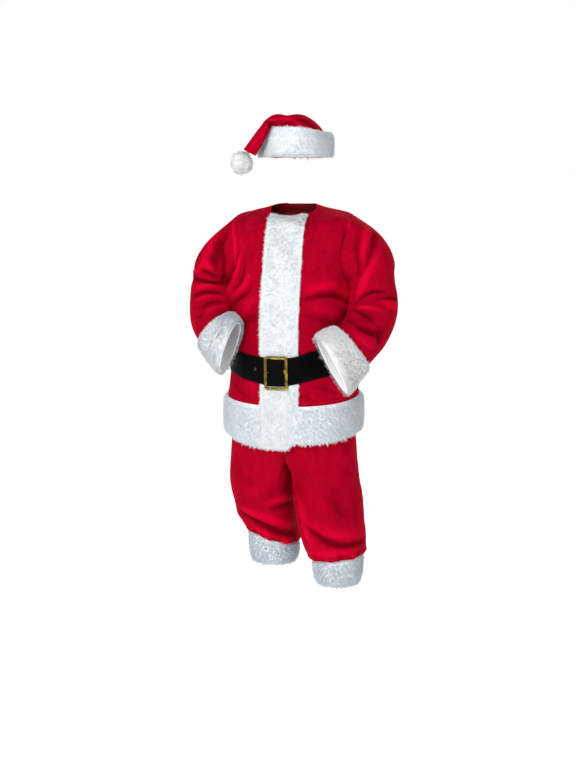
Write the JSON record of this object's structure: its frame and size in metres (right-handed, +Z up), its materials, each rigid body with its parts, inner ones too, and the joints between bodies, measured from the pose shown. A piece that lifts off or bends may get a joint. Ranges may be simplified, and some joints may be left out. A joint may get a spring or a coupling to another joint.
{
  "type": "santa suit",
  "caption": "Worn Santa suit: hollow plush jacket with fur bands, buckled belt, cropped trousers with fur cuffs, and a folded hat with fur brim and pompom.",
  "frame": {"origin": "middle of the neck opening at the base of the neck, where the jacket hangs from the wearer's shoulders", "axes": "+Z up, the front faces -Y, the wearer's left is +X"},
  "size_m": [0.775, 0.5696, 1.6662],
  "materials": {
    "red_plush": "short plush pile with a soft sheen",
    "white_fur": "matte long pile",
    "black_strap": "smooth grain with a low shine",
    "aged_brass": "brushed and darkened in the corners",
    "elastic_casing": "matte woven"
  },
  "bodies": {
    "root": {"belt_strap": "black_strap", "buckle_frame": "aged_brass", "cuff_left": "white_fur", "cuff_right": "white_fur", "front_band": "white_fur", "hat_brim": "white_fur", "hat_crown": "red_plush", "hem_band": "white_fur", "jacket_back": "red_plush", "jacket_front_left": "red_plush", "jacket_front_right": "red_plush", "leg_cuff_left": "white_fur", "leg_cuff_right": "white_fur", "pompom": "white_fur", "prong_loop": "aged_brass", "prong_tip": "aged_brass", "sleeve_left": "red_plush", "sleeve_right": "red_plush", "trouser_back_left": "red_plush", "trouser_back_right": "red_plush", "trouser_front_left": "red_plush", "trouser_front_right": "red_plush", "waistband": "elastic_casing"}
  },
  "joints": []
}
